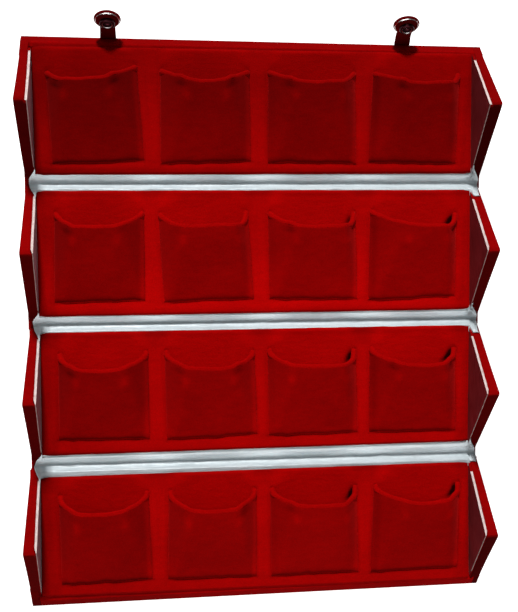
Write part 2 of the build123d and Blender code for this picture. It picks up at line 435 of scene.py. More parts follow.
# Tones of pile and satin, mostly painted light and shade: 0 is the cloth's own colour, below 0 is darker
ROW_TONE = {1: -0.3, 2: 0.02, 3: 0, 4: -0.04}
CAP_TONE = {number: 0.7 * tone for number, tone in ROW_TONE.items()}
CAP_LOW_SHADE = {(1, 1): -0.35, (1, 4): -0.5}  # right caps whose lower slopes get more painted shade
# painted light on the satin linings, left and right ends, panel by panel
LINING_LIGHT = {-1: (1.1, 0.7, 0.6, 0), 1: (0.05, 0.2, 0.42, 0.2)}
WRAP_LIGHT_AND_SHADE = {1: (-0.08, 0.12), -1: (0.15, 0.3)}  # painted light and shade on the slope and ledge of the wrapped free edges
# painted shade towards the left end of each wrap
WRAP_LEFT_SHADE = {1: 0.06, -1: 0.34}


def outward(end, number, out, height):
    """How much further out than even an end of the box stands at one point."""
    upper, apex, lower = CAP_STAND[end][number - 1]
    foot = between(lower, upper, (out / half_pitch + 1) / 2)
    return between(foot, apex, height / core_line) * MM


def stretch(across, number, out, height):
    """A place along the folds, drawn out with the ends of its panel."""
    return across * (1 + outward(sign(across), number, out, height) / half_width)


def end_to_end(pair, across):
    """A size given in mm at the left and right ends, at a place between them."""
    return between(*pair, (across / half_width + 1) / 2) * MM


def end_face(even, foot_out, *place):
    """Distance of a leaning face of an end from the middle of the box; a place is as in outward."""
    return even + foot_out * (1 - place[-1] / core_line) + outward(*place)


def lining_face(*place):
    return end_face(lining_inner, LINING_FOOT_OUT, *place)


def cap_face(*place):
    return end_face(half_width, -CAP_FOOT_IN, *place)


HAIR = 0.1 * MM  # keeps neighbouring cloths from lying in one plane
CLOTH_THICKNESS = 0.3 * MM
pad_reach = lining_inner + LINING_FOOT_OUT * (1 - pad_top / core_line) - HAIR
PAD_BULGE = 0.8 * MM  # soft long edges of the pads, past the board under them
PAD_ROLL = 1.6 * MM
FREE_EDGE_OUT = 0.9 * MM  # a pad's edge lies further out along a free edge of the box
FREE_ROLL = 2.6 * MM  # and is rolled more gently there

# Strips on the mitred edges
LEDGE = board_top + strip_thickness
LEDGE_DEEP = 3.5 * MM  # how far a strip runs in under the pad
VALLEY_HEIGHT = 0.92 * cover_top
# Height in mm that a strip climbs at its left and right ends, and how far it narrows there
UPPER_TIPS = {-1: (6.5, 1), 1: (9, 1)}
LOWER_TIPS = {-1: (9, 1), 1: (7.8, 0.15)}
THIRD_TIPS = {-1: (9, 1), 1: (4.6, 0.1)}
WRAP_TIPS = {-1: (11, 0), 1: (6, 0)}
# Where a strip leaves the ledge for the cap, in mm past the pad: narrow tips, broad tips, wraps
CLIMBS = ((0, 1.2), (0.5, 2), (1.4, 2.4))
NARROWEST = 0.06
LEAST_SINK = (-0.9 * MM, 0.05 * MM)  # of a leaf and of a wrap
MOST_SINK = 0.42 * MM
WRAP_SEAT = 0.15 * MM  # a wrap's tips lie this far below the cap's velvet
WRAP_UNDER = 1.8 * MM  # and its foot turns in under the panel
LEAF_LIGHT = {1: (0.26, 0.3, 0.28), -1: (-0.02, -0.06, -0.1)}  # painted light on the leaves above and below each fold; the upper leaves face away from the key lamp


def edge_section(side, number, across, seed, tips, shift=None):
    """Half of a strip's section, from its foot to its free border; a wrap has a shift."""
    wrap = shift is not None
    proud = shift if wrap else 0
    beyond = abs(across) - pad_reach
    tip, taper = tips[sign(across)]
    tip *= MM
    on_cap = ease(*CLIMBS[2 if wrap else taper <= 0.5], beyond / MM)
    foot = HAIR if wrap else cover_top
    crumple = 0 if wrap else ease(-5, 1.5, (across - pad_reach) / MM)
    points = []
    for rise in spread(0, 1, 11):
        height = between(between(foot, LEDGE, rise), between(foot, tip, rise), on_cap)
        bulge = 0 if wrap else 0.35 * MM * bell(rise, 0.9, 0.25) * (1 - on_cap)
        seated = on_cap * ease(LEDGE, tip, height)
        line = skin_line + proud * (1 - seated) - WRAP_SEAT * seated * wrap
        points.append((line - height + bulge, height + bulge))
    for share in (0.12, 0.3, 0.6, 1):
        flat = (skin_line + proud - LEDGE - share * LEDGE_DEEP, LEDGE + 0.15 * MM * (1 - share))
        top = (skin_line - WRAP_SEAT * wrap - tip - 0.25 * MM * share, tip - 0.5 * MM * share)
        points.append([between(low, high, on_cap) for low, high in zip(flat, top)])
    placed = []
    for index, (out, height) in enumerate(points):
        run = (out + height) * 1.4
        broad = ripple((across, 3 * run, 0), 9, seed + side)
        streak = ripple((across * 0.3, 5 * run, 0), 2.6, seed - side)
        fine = ripple((across, 4 * run, 0), 2.2, seed + 2 * side)
        sink = (0.18 + 0.2 * broad + 0.16 * streak + 0.9 * crumple * fine) * MM
        sink = 0.7 * clamp(sink, LEAST_SINK[wrap], MOST_SINK) * min(1, index / 2)
        kept = 1
        if beyond > 0:
            climbed = clamp((height - foot) / (tip - foot))
            kept = 1 - taper * (1 - max(NARROWEST, (1 - climbed ** 1.5) ** 1.5))
            kept = between(pad_reach / abs(across), 1, kept)
        x = stretch(across * kept, number, side * out, height)
        placed.append(Vector((x, panel_y[number] + side * (out - sink), height - sink)))
    if wrap:
        under = panel_y[number] + side * (skin_line - WRAP_UNDER)
        placed.insert(0, Vector((placed[0].x, under, placed[0].z)))
    return placed


def strip_columns(left_reach, right_reach):
    """Places across the box for a strip's sections, closer together at the ends."""
    left = spread(-left_reach, -pad_reach, 14)
    return left[:-1] + spread(-pad_reach, pad_reach, 190) + spread(pad_reach, right_reach, 14)[1:]


def fold_strip(fold):
    """Crumpled leatherette across one fold, bending between two panels."""
    rows = []
    valley = fold_y[fold]
    lower_tips = THIRD_TIPS if fold == FOLDS[-1] else LOWER_TIPS
    for across in strip_columns(strip_reach - 1.3 * MM, strip_reach + 0.3 * MM):
        upper = edge_section(-1, fold, across, 3.1 * fold, UPPER_TIPS)
        lower = edge_section(1, fold + 1, across, 5.7 * fold, lower_tips)
        middle = Vector(((upper[0].x + lower[0].x) / 2, valley, VALLEY_HEIGHT))
        rows.append(upper[::-1] + [middle] + lower)
    built = grid_object(f"fold_lining_{fold}", rows, [leatherette])
    thicken(built, CLOTH_THICKNESS)

    def shade(place):
        """Painted shadow of the right cap in the crumpled corner beside it, painted light on the upper
        leaves, near the valley and at the left end, faint streaks elsewhere.
        """
        above = (place.y - valley) / MM
        # painted shadow of the right cap, broken up by the crumples
        cap_shadow = ease(0.5, 2.5, above) * bell((place.x - pad_reach) / MM, 0.6, 2.8)
        cap_shadow *= 0.75 + 1.1 * ripple(place, 1.3, fold)
        streak = ripple((place.x * 0.1, place.y, place.z), 1.3, 2 * fold)
        # painted light at the left end, which the left cap shades
        left_end_light = ease(6, -2, (place.x + pad_reach) / MM)
        tone = LEAF_LIGHT[sign(above)][fold - 1]
        tone += 0.07 * streak + 0.38 * left_end_light + 0.1 * bell(above, 1.4, 1.6)
        return tone - 0.85 * max(0, cap_shadow)

    set_tone(built, shade)
    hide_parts(f"fold_strip_{fold}_upper", f"fold_strip_{fold}_lower")
    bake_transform(built)


for fold in FOLDS:
    fold_strip(fold)


# Velvet covers on the back, with the cloth across each fold
BEND_HALF = 3 * MM
WRAP_FOOT = 1.1 * MM  # the wrap's velvet lies round the cover's free edge
WRAP_THICKNESS = 0.5 * MM
WRAP_REACH = half_width - 0.15 * MM
ON_CAP = pad_reach + 2.6 * MM  # beyond this a wrap lies on the end cap


def edge_wrap(number, side):
    """Velvet drawn round a free edge and over the caps' feet."""
    rows = []
    for across in strip_columns(WRAP_REACH, WRAP_REACH):
        outermost = abs(across) > WRAP_REACH - 0.01 * MM
        shift = -WRAP_SEAT if outermost else end_to_end(FREE_EDGES[number, side], across)
        rows.append(edge_section(side, number, across, 8.3, WRAP_TIPS, shift))
    built = grid_object(f"edge_wrap_{number}", rows, [cover_velvet, cap_velvet])
    thicken(built, WRAP_THICKNESS, -side)
    for polygon in built.data.polygons:
        polygon.material_index = abs(polygon.center.x) > ON_CAP
    slope_light, ledge_light = WRAP_LIGHT_AND_SHADE[side]

    def tone(place):
        """As the cap's on its foot, else painted light and shade for the slope and the ledge, with painted
        shade towards the left.
        """
        if abs(place.x) > ON_CAP:
            low_shade = CAP_LOW_SHADE.get((sign(place.x), number), 0)
            return CAP_TONE[number] + low_shade * (side < 0)
        left_shade = WRAP_LEFT_SHADE[side] * ease(-30, -100, place.x / MM)
        return (slope_light if place.z < LEDGE - 0.5 * MM else ledge_light) - left_shade

    set_tone(built, tone)
    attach(built, panel(number))
    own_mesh(built)


def back_cloth(name, lines, along, lift, thickness):
    """Velvet across the back on lines up the box; along places each point on its line."""
    rows = []
    for across in spread(-half_width, half_width, 60):
        row = []
        for line in lines:
            height = lift * (1 + ripple((across, line, 0), 12, 2.2))
            row.append(Vector((along(across, line), line, height)))
        rows.append(row)
    built = grid_object(name, rows, [cover_velvet])
    thicken(built, thickness)
    return built


def back_cover(number):
    """Velvet over one panel's back, up to the wrap on a free long edge."""
    middle = panel_y[number]
    low, high = (
        skin_line - WRAP_FOOT if (number, side) in FREE_EDGES else half_pitch - BEND_HALF
        for side in SIDES
    )
    built = back_cloth(
        f"cover_velvet_{number}", [middle + out for out in spread(-low, high, 24)],
        lambda across, line: stretch(across, number, line - middle, 0),
        0.05 * MM, cover_top - HAIR,
    )
    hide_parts(f"back_cover_{number}")
    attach(built, panel(number))


def fold_cloth(fold):
    """Velvet across the outside of one fold."""
    valley = fold_y[fold]
    built = back_cloth(
        f"fold_cloth_{fold}", [valley + out for out in spread(-BEND_HALF, BEND_HALF, 13)],
        lambda across, line: stretch(across, fold, -half_pitch, 0),
        0.02 * MM, CLOTH_THICKNESS,
    )
    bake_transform(built)


for number in PANELS:
    back_cover(number)
    for side, joint in ((1, "fold_1"), (-1, "fold_3")):
        if (number, side) in FREE_EDGES:
            edge_wrap(number, side)
for fold in FOLDS:
    fold_cloth(fold)


# End caps and linings
CAP_STEPS = 22  # points along each side of a cap
APEX_ROUND = 0.9 * MM
CAP_PROFILE = (
    (3, 0), (0.5, 0), (0, 0.04), (0, 0.3), (0, 0.6), (0.02, 0.88), (0.08, 0.96),
    (0.25, 0.99), (0.5, 1), (4, 1.004), (8, 1.006), (11.5, 1.006),
)  # inset from the outline in mm, share of the thickness


def cap_outline(middle, upper_line, lower_line):
    """Points round a right-angled triangle whose slopes meet the back plane at two lines."""
    apex = Vector(((upper_line - lower_line) / 2, (upper_line + lower_line) / 2))
    shift = APEX_ROUND / sqrt(2)
    corners = [Vector((upper_line - cover_top, cover_top))]
    corners += [apex + Vector(way) * shift for way in ((1, -1), (0, -0.84), (-1, -1))]
    corners.append(Vector((cover_top - lower_line, cover_top)))
    points = []
    for index, count in enumerate((CAP_STEPS, 2, 2, CAP_STEPS, CAP_STEPS)):
        for step in range(count):
            flat = corners[index].lerp(corners[(index + 1) % len(corners)], step / count)
            points.append(Vector((middle + flat.x, flat.y)))
    return points


def ring_solid(name, rings, materials):
    """Closed form from rings of points, with its first and last ring filled."""
    vertices = [point for ring in rings for point in ring]
    count = len(rings[0])
    faces = grid_faces(len(rings), count, closed=True)
    faces.append(tuple(range(count)))
    faces.append(tuple(range((len(rings) - 1) * count, len(rings) * count)))
    built = mesh_object(name, vertices, faces, materials)
    bm = bmesh.new()
    bm.from_mesh(built.data)
    bmesh.ops.recalc_face_normals(bm, faces=bm.faces)
    bm.to_mesh(built.data)
    bm.free()
    return built


def end_cap(where, number):
    """Velvet covered cap: a padded triangle, level with the wrap on a free edge."""
    end = ENDS[where]
    middle = panel_y[number]
    lines = [skin_line - HAIR if (number, side) in FREE_EDGES else core_line for side in (1, -1)]
    points = cap_outline(middle, *lines)
    centre = Vector((middle, core_line / 3))
    seed = number + 0.5 * (end > 0)
    rings = []
    for inset, share in CAP_PROFILE:
        ring = []
        for point in points:
            towards = (centre - point).normalized()
            moved = point + towards * inset * MM
            moved -= towards * 0.12 * MM * ripple((end * share * 6 * MM, *moved), 8, seed)
            moved.y = max(moved.y, cover_top)
            place = (end, number, moved.x - middle, moved.y)
            inner = lining_face(*place) + CARD_EDGE[sign(moved.x - middle)]
            ring.append(Vector((end * between(inner, cap_face(*place), share), *moved)))
        rings.append(ring)
    built = ring_solid(f"cap_velvet_{where}_{number}", rings, [cap_velvet])
    low_shade = CAP_LOW_SHADE.get((end, number), 0)

    def tone(place):
        """Painted shade on the lower slope, and even on the outer face."""
        depth = cap_face(end, number, place.y - middle, place.z) - abs(place.x)
        on_slope = ease(HAIR, 0.5 * MM, depth) * (place.y < middle)
        return CAP_TONE[number] + low_shade * on_slope

    set_tone(built, tone)
    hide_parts(f"end_cap_{where}_{number}")
    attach(built, panel(number))


def end_lining(where, number):
    """Satin faced card inside a cap, with its white cut edge showing."""
    end = ENDS[where]
    middle = panel_y[number]
    apex = Vector((middle, lining_line))
    slope = spread(0, 1, 17)
    outline = [Vector((middle + pad_edge, board_top))]
    near, far = (Vector((middle + side * pad_edge, lining_line - pad_edge)) for side in (1, -1))
    outline += [near.lerp(apex, share) for share in slope]
    outline += [apex.lerp(far, share) for share in slope[1:]]
    outline.append(Vector((middle - pad_edge, board_top)))
    seed = number + 2.5 * end
    rings = []
    for back in (0, 1):
        ring = []
        for point in outline:
            wave = 0.12 * MM * ripple((point.x, point.y, 0), 15, seed)
            nick = 0.2 * MM * ripple((point.x, point.y, back), 3, seed) * (point.y > 2 * board_top)
            across = lining_face(end, number, point.x - middle, point.y) + wave
            across += CARD_EDGE[sign(point.x - middle)] * back
            ring.append(Vector((end * across, point.x, point.y + nick)))
        rings.append(ring)
    built = ring_solid(f"lining_card_{where}_{number}", rings, [satin, card_edge, cap_velvet])
    for polygon in built.data.polygons:
        edge = 1 if polygon.center.z > CARD_EDGE_FOOT[end] else 2
        polygon.material_index = 0 if abs(polygon.normal.x) > 0.7 else edge
        polygon.use_smooth = False
    # painted light on the satin; the other faces take the cap's tone
    tones = [
        CAP_TONE[number] if polygon.material_index else LINING_LIGHT[end][number - 1]
        for polygon in built.data.polygons for _ in polygon.loop_indices
    ]
    built.data.attributes.new("tone", "FLOAT", "CORNER").data.foreach_set("value", tones)
    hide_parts(f"end_lining_{where}_{number}")
    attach(built, panel(number))


for number in PANELS:
    for where in ENDS:
        end_cap(where, number)
        end_lining(where, number)


# Pockets
pocket_low, pocket_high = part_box("pocket_2_2")
POCKET_HALF = (pocket_high[0] - pocket_low[0]) / 2 - 1.1 * MM
POCKET_BOTTOM = pocket_low[1]
MOUTH_CORNER = pocket_high[1]
LIP_HEIGHT = 14.2 * MM
LIP_SETBACK = {1: 6.2, 2: 7.7, 3: 8.2, 4: 8}  # mm
LIP_CURVE = {1: 1, 2: 0.8, 3: 0.52, 4: 0.42}  # below 1 the lip drops steeply beside its corners
HEM_RADIUS = 1.45 * MM
HEM_SIDES = 12
POUCH_THICKNESS = 1 * MM
BELLY_HEIGHT = 0.7 * MM  # where the front turns under to the bottom seam
SEAM_SINK = 0.3 * MM
MEAN_BEND = 0.66
# How each row's pockets differ from the even layout: corners of the mouth, bottom edge
ROW_SHIFT = {1: (-1.2, -0.3), 2: (-0.8, 1.5), 3: (0.5, 3.1), 4: (0, 0.6)}
# How each pocket is sewn: its mouth and its bottom to the right of even, and the mouth's tilt
SEWN = {
    1: ((-2.5, 0.9, 2), (-0.1, 0.2, 0), (0.1, 0.1, 0), (0.5, -2.1, 0)),
    2: ((0.7, 0.5, 0.2), (-1.8, 1.2, 0.8), (-0.3, 0.6, 0.2), (-1.3, -2.5, -0.7)),
    3: ((1.8, 1.9, 0.4), (1.1, 2.4, -0.4), (-0.7, 0.2, -0.4), (-1.9, -1.9, -0.5)),
    4: ((0.9, 2.4, 0.6), (2.1, 1.6, -0.2), (0.1, 0.7, 0), (0.7, -0.9, 0)),
}
# Where each lip bends down, left and right, as shares of its half width
BENDS = {
    1: ((0.76, 0.51), (0.56, 0.58), (0.57, 0.78), (0.43, 0.85)),
    2: ((0.7, 0.55), (0.63, 0.9), (0.57, 0.9), (0.36, 0.85)),
    3: ((0.72, 0.6), (0.7, 0.62), (0.66, 0.88), (0.57, 0.8)),
    4: ((0.73, 0.6), (0.7, 0.7), (0.6, 0.87), (0.5, 0.84)),
}
# How deep the gathers under those bends are, left and right
GATHERS = {
    1: ((1, 1), (1, 1), (1, 0.5), (1, 0.2)),
    2: ((1, 0.3), (0.4, 0.3), (1, 0.8), (0.2, 1)),
    3: ((0.9, 0.4), (0.7, 0.9), (0.2, 0.3), (1, 0.9)),
    4: ((0.3, 0.3), (0.2, 1), (0.8, 0.3), (0.1, 0.2)),
}
LEFT_FLANK_SHADE = {1: 0.08, 2: 0.02, 3: 0.08, 4: 0.2}  # painted shade on the left flanks, column by column
# painted light on the right flanks
RIGHT_FLANK_LIGHT = 0.36
COLUMN_TONE = {1: -0.1, 2: 0.05, 3: 0.06, 4: 0.03}
FRONT_FALL = {1: 0.5, 2: 0.3, 3: 0.28, 4: 0.14}  # fronts are darker near the lip than at the bottom
HEM_TONE = {1: 0.04, 2: -0.06, 3: -0.05, 4: -0.02}
EAR_TONE = 0.06
# How far the right corners of the mouths gape, and how dark the painted shadow in them is
GAPES = {(2, 3): 0.35, (2, 4): 0.7, (3, 3): 0.7, (3, 4): 1, (4, 3): 0.8, (4, 4): 1}


class Pouch:
    """One pocket's form, varied by its place in the box."""

    def __init__(self, number, column):
        low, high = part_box(f"pocket_{number}_{column}")
        self.number = number
        self.column = column
        self.middle = (low[0] + high[0]) / 2
        self.seed = 1.3 * number + 4.1 * column
        corner_shift, bottom_shift = ROW_SHIFT[number]
        self.corner = panel_y[number] + MOUTH_CORNER + corner_shift * MM
        self.bottom = panel_y[number] + POCKET_BOTTOM + bottom_shift * MM
        self.half = POCKET_HALF + 0.4 * MM * self.chance(1)
        self.mouth_shift, self.bottom_shift, self.tilt = (
            value * MM for value in SEWN[number][column - 1]
        )
        self.slant = (0.8 * self.chance(2) + 0.4) * MM
        self.sag = (1.4 + 0.7 * self.chance(3)) * MM
        self.lip = LIP_HEIGHT * (1 + 0.06 * self.chance(4))
        self.setback = LIP_SETBACK[number] * MM
        self.bends = dict(zip(SIDES, BENDS[number][column - 1]))
        self.gathers = dict(zip(SIDES, GATHERS[number][column - 1]))
        self.gape = GAPES.get((number, column), 0)

    def chance(self, which):
        """Repeatable number between -1 and 1."""
        return clamp(2.4 * noise.noise(Vector((self.seed, 7.3 * which, 0.37))), -1, 1)

    def centre(self, along):
        """Middle of the pocket along the folds, from its bottom (0) to its mouth (1)."""
        return self.middle + between(self.bottom_shift, self.mouth_shift, along)

    def rise(self, share, along):
        """Share of the full height that is reached: a trapezoid with soft shoulders."""
        bend = self.bends[sign(share)]
        flank = 0.2 + 0.24 * along * (1 - 0.8 * (bend - MEAN_BEND) / (1 - MEAN_BEND))
        return soft_min(1, (1 - abs(share)) / flank, 0.34) ** 0.85

    def curve(self, share):
        """How steeply the lip drops beside a corner; a gaping corner is rounder."""
        return LIP_CURVE[self.number] * (1 - 0.3 * self.gape * (share > 0))

    def lip_place(self, share):
        """Place up the panel of the lip, at a share of the half width."""
        bend = self.bends[sign(share)]
        reached = soft_min(1, ((1 - abs(share)) / (1 - bend)) ** self.curve(share), 0.45)
        sagging = self.sag * max(0, 1 - (share / bend) ** 2)
        wave = 0.5 * MM * ripple((self.middle + share * self.half, 0, 0), 8, self.seed)
        return self.corner + self.tilt * share - self.setback * reached - sagging + wave * reached

    def bottom_place(self, share):
        """Place up the panel of the tucked bottom edge."""
        here = self.middle + share * self.half
        wave = 0.7 * ripple((here, 3.1, 0), 14, self.seed + 2)
        wave += 0.45 * ripple((here, 1.7, 0), 5, self.seed + 6)
        return self.bottom + self.slant * share + wave * MM

    def pouch_light_and_shade(self, share, along):
        """Painted highlights on the small bulges beside the gathers, painted shade in the gathers, at the
        bottom seam and on the left flank, painted light on the right flank.
        """
        tone = 0
        for side, bend in self.bends.items():
            highlight = 0.24 + 0.08 * self.chance(11 + side)
            tone += highlight * bell(share, side * (bend - 0.14), 0.09) * bell(along, 0.8, 0.075)
            shade_depth = 0.42 * self.gathers[side]
            tone -= shade_depth * bell(share, side * bend, 0.13) * bell(along, 0.925, 0.035)
        tone -= LEFT_FLANK_SHADE[self.column] * bell(share, -0.93, 0.07)
        tone += RIGHT_FLANK_LIGHT * bell(share, 0.96, 0.06)
        tone -= 0.62 * bell(along, 0, 0.04)
        return tone + COLUMN_TONE[self.column] - FRONT_FALL[self.number] * (along - 0.42)

    def gape_shadow(self, across, place):
        """Painted shadow on the pad in a mouth's right corner, where the lip stands off it."""
        if not self.gape:
            return 0
        drop = clamp((self.corner - place) / self.setback) ** (1 / self.curve(1))
        lip = self.centre(1) + (1 - (1 - self.bends[1]) * drop) * self.half
        shade_depth = bell((across - lip) / MM, -2.6, 2.2) * bell((place - self.corner) / MM, -4.4, 3.2)
        return -min(0.97, 2.3 * self.gape * shade_depth)

    def point(self, share, along):
        """Point on the outside of the pouch, along from its bottom (0) to its lip (1)."""
        low = self.bottom_place(share)
        place = between(low, self.lip_place(share), along)
        full = clamp((place - low) / (self.corner - self.setback - low))
        belly = BELLY_HEIGHT * sqrt(ease(0, 0.025, along))
        lift = between(belly, self.lip, 1 - (1 - full) ** 1.4) * self.rise(share, along)
        across = self.centre(along) + share * self.half * (1 + 0.012 * (1 - along))
        # Gathers under the hem, and the small folds that run down from them
        for side, bend in self.bends.items():
            hollow = bell(share, side * bend, 0.1) * bell(along, 0.945, 0.03)
            knuckle = bell(share, side * (bend - 0.12), 0.13) * bell(along, 0.8, 0.09)
            lift += (0.6 * knuckle - 1.5 * hollow * self.gathers[side]) * MM
        firm = ease(0, 0.1, along) * min(1, 3 * (1 - abs(share)))
        soft = ripple((across, place, 0), 16, self.seed)
        fine = ripple((across, place, 0), 6, self.seed + 5)
        lift += (0.45 * soft + 0.18 * fine) * MM * firm
        return Vector((across, place, pad_top + max(lift, 0) - SEAM_SINK))


def pocket(number, column):
    """Velvet pouch with a rolled hem along its lip."""
    pouch = Pouch(number, column)
    shares = [0.55 * sin(even * pi / 2) + 0.45 * even for even in spread(-1, 1, 61)]
    rows = [[pouch.point(share, along ** 1.25) for share in shares] for along in spread(0, 1, 49)]
    built = grid_object(f"pouch_{number}_{column}", rows, [pocket_velvet])
    thicken(built, POUCH_THICKNESS)
    # Rolled hem, a soft tube along the lip
    points = []
    lip = rows[-1]
    for index, edge in enumerate(lip):
        forward = (lip[min(len(lip) - 1, index + 1)] - lip[max(0, index - 1)]).normalized()
        onward = edge - pouch.point(shares[index], 0.95)
        onward = (onward - forward * onward.dot(forward)).normalized()
        away = forward.cross(onward)
        ear = bell(abs(shares[index]), 0.96, 0.06)
        swell = HEM_RADIUS * (1 + 0.12 * ripple(edge, 5, pouch.seed) + 0.15 * ear)
        centre = edge - (0.93 - 0.45 * ear) * swell * away
        points += circle(centre, away * swell, onward * swell, HEM_SIDES)
    faces = grid_faces(len(lip), HEM_SIDES, closed=True)
    faces.append(tuple(reversed(range(HEM_SIDES))))
    faces.append(tuple(range((len(lip) - 1) * HEM_SIDES, len(lip) * HEM_SIDES)))
    hem = mesh_object(f"hem_{number}_{column}", points, faces, [lit_pad_velvet])
    row_tone = ROW_TONE[number]

    def cloth_tone(place):
        rough_along = clamp((place.y - pouch.bottom) / (pouch.corner - pouch.setback - pouch.bottom))
        share = clamp((place.x - pouch.centre(rough_along)) / pouch.half, -0.999, 0.999)
        low = pouch.bottom_place(share)
        along = (place.y - low) / (pouch.lip_place(share) - low)
        return (1 + row_tone) * (1 + pouch.pouch_light_and_shade(share, along)) - 1

    def hem_tone(place):
        share = clamp((place.x - pouch.centre(1)) / pouch.half, -0.999, 0.999)
        ear = ease(0.84, 0.96, abs(share))
        from_lip = (place.y - pouch.lip_place(share)) / HEM_RADIUS
        # painted highlight on the hem's crest, painted shade under it
        crest_highlight = 0.12 * bell(from_lip, -0.9, 0.6)
        under = 0.22 * ease(-1.3, -2.1, from_lip)
        return (1 + row_tone) * (1 + HEM_TONE[number] + EAR_TONE * ear + (crest_highlight - under) * (1 - ear)) - 1

    set_tone(built, cloth_tone)
    set_tone(hem, hem_tone)
    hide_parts(f"pocket_{number}_{column}")
    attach(built, panel(number))
    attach(hem, panel(number))
    return pouch


pouches = {(number, column): pocket(number, column) for number in PANELS for column in COLUMNS}


# Insert pads, and the light and shade painted on them at the ridges, the sides and in the mouths
# Painted light and shade on the ridges between the pockets
RIDGE_LIGHT_AND_SHADE = {1: -0.04, 2: -0.03, 3: 0.05, 4: 0.07}
# Painted shade at the pad's ends beside the caps, above and below the pockets
MARGIN_SHADE = {1: (-0.02, -0.08), 2: (-0.04, -0.22), 3: (-0.02, -0.2), 4: (-0.04, -0.15)}
# Painted light below the pockets, painted shade in row 4
DOWN_LIGHT = {1: 0.12, 2: 0.27, 3: 0.05, 4: -0.06}
ABOVE_MOUTH_LIGHT = {1: 0.17, 2: 0.28, 3: 0.36, 4: 0.26}  # painted light above the mouths, making up for the shade they cast on the pad there
EDGE_SHADE = -0.26  # painted shade along the folds
LEFT_SHADE = -0.14  # painted shade towards the left end
SKIRT_IN = 0.3 * MM  # a pad's skirt leans in under its rolled edge


def pad_relief(number, x, y):
    """How much a pad puffs up as a ridge and is drawn down by a seam, from 0 to 1."""
    seam = 0
    ridge = 0
    for column in COLUMNS:
        pouch = pouches[number, column]
        off_middle = x - pouch.centre(ease(pouch.bottom, pouch.corner, y))
        share = off_middle / pouch.half
        if abs(share) > 1.35:
            continue
        beyond = (abs(off_middle) - pouch.half) / MM
        upright = ease(-3, 3, (y - pouch.bottom) / MM) * ease(3, -2, (y - pouch.corner) / MM)
        ridge = max(ridge, upright * bell(beyond, 3.4, 2.6))
        seam = max(seam, upright * bell(beyond, 0, 0.8))
        if abs(share) < 1.04:
            seam = max(seam, bell((y - pouch.bottom_place(share)) / MM, -0.5, 0.9))
    return ridge, seam


def pad_light_and_shade(number, point):
    """Light and shade painted on the pad: lighter in the mouths and below the pockets, darker at the seams,
    the ends, the folds, the left side and gaping corners.
    """
    up = (point.y - panel_y[number]) / MM
    down = ease(20, -30, up)
    ridge, seam = pad_relief(number, point.x, point.y)
    cloud = ripple((point.x, point.y, 0), 30, 4.4 * number)
    tone = ROW_TONE[number] * (1 - 0.5 * down) + DOWN_LIGHT[number] * down + 0.08 * cloud
    # painted light and shade on the ridges, painted shade in the seams
    tone += RIDGE_LIGHT_AND_SHADE[number] * ridge - 0.25 * seam * ease(12, -5, up)
    margin = ease(-12, -7, (abs(point.x) - pad_reach) / MM)
    tone += margin * between(*MARGIN_SHADE[number], down)
    tone += LEFT_SHADE * ease(-50, -120, point.x / MM)
    if (number, sign(up)) not in FREE_EDGES:
        tone += EDGE_SHADE * ease(4.5, 1, (pad_edge + PAD_BULGE) / MM - abs(up))
    for column in COLUMNS:
        pouch = pouches[number, column]
        share = (point.x - pouch.centre(1)) / pouch.half
        if abs(share) < 1.1:
            above_lip = (point.y - pouch.lip_place(clamp(share, -0.99, 0.99))) / MM
            tone += ABOVE_MOUTH_LIGHT[number] * ease(-4, 1, above_lip) * ease(1.08, 0.74, abs(share))
            tone = max(-0.95, tone + pouch.gape_shadow(point.x, point.y) * (1 + tone))
    return tone


def insert_pad(number):
    """Padded velvet insert that carries the pockets: rolled edge, seams, ridges."""
    middle = panel_y[number]
    rows = []
    for across in spread(-pad_reach, pad_reach, 220):
        corner = 0.6 * MM * ease(5, 0, (pad_reach - abs(across)) / MM)
        low, high = (
            pad_edge + PAD_BULGE + end_to_end(PAD_EDGES[side][number - 1], across)
            + FREE_EDGE_OUT * ((number, side) in FREE_EDGES) - corner
            for side in SIDES
        )
        row = []
        for out in spread(-low, high, 80):
            x = stretch(across, number, out, pad_top)
            y = middle + out
            border = min(pad_reach - abs(across), out + low, high - out)
            roll = FREE_ROLL if (number, sign(out)) in FREE_EDGES else PAD_ROLL
            drop = PAD_ROLL * (1 - sqrt(1 - clamp(1 - border / roll) ** 2))
            ridge, seam = pad_relief(number, x, y)
            soft = ripple((x, y, 0), 22, 1.1 * number)
            fine = ripple((x, y, 0), 7, 2.9 * number)
            relief = (0.8 * ridge - 0.8 * seam + 0.22 * soft + 0.08 * fine) * MM
            row.append(Vector((x, y, pad_top - drop + relief)))
        row.insert(0, Vector((row[0].x, row[0].y + SKIRT_IN, LEDGE)))
        row.append(Vector((row[-1].x, row[-1].y - SKIRT_IN, LEDGE)))
        rows.append(row)
    skirts = [[Vector((point.x, point.y, LEDGE)) for point in row] for row in (rows[0], rows[-1])]
    rows = [skirts[0]] + rows + [skirts[1]]
    built = grid_object(f"lit_pad_velvet_{number}", rows, [lit_pad_velvet])
    set_tone(built, lambda place: pad_light_and_shade(number, place))
    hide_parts(f"insert_pad_{number}")
    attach(built, panel(number))


for number in PANELS:
    insert_pad(number)


# Straps and snaps
STRAP_LEAN = radians(21)
STRAP_THICKNESS = 1.3 * MM
STRAP_NECK = 4.6 * MM
ROOT_TOP = 0.3 * MM  # the sewn root lies flat under the box's edge
ROOT_IN = 0.85 * MM
ALONG = Vector((0, sin(STRAP_LEAN), cos(STRAP_LEAN)))
OUTWARD = Vector((0, cos(STRAP_LEAN), -sin(STRAP_LEAN)))
RISE_LENGTH = 5.5 * MM
SOCKET_HEIGHT = 2 * MM
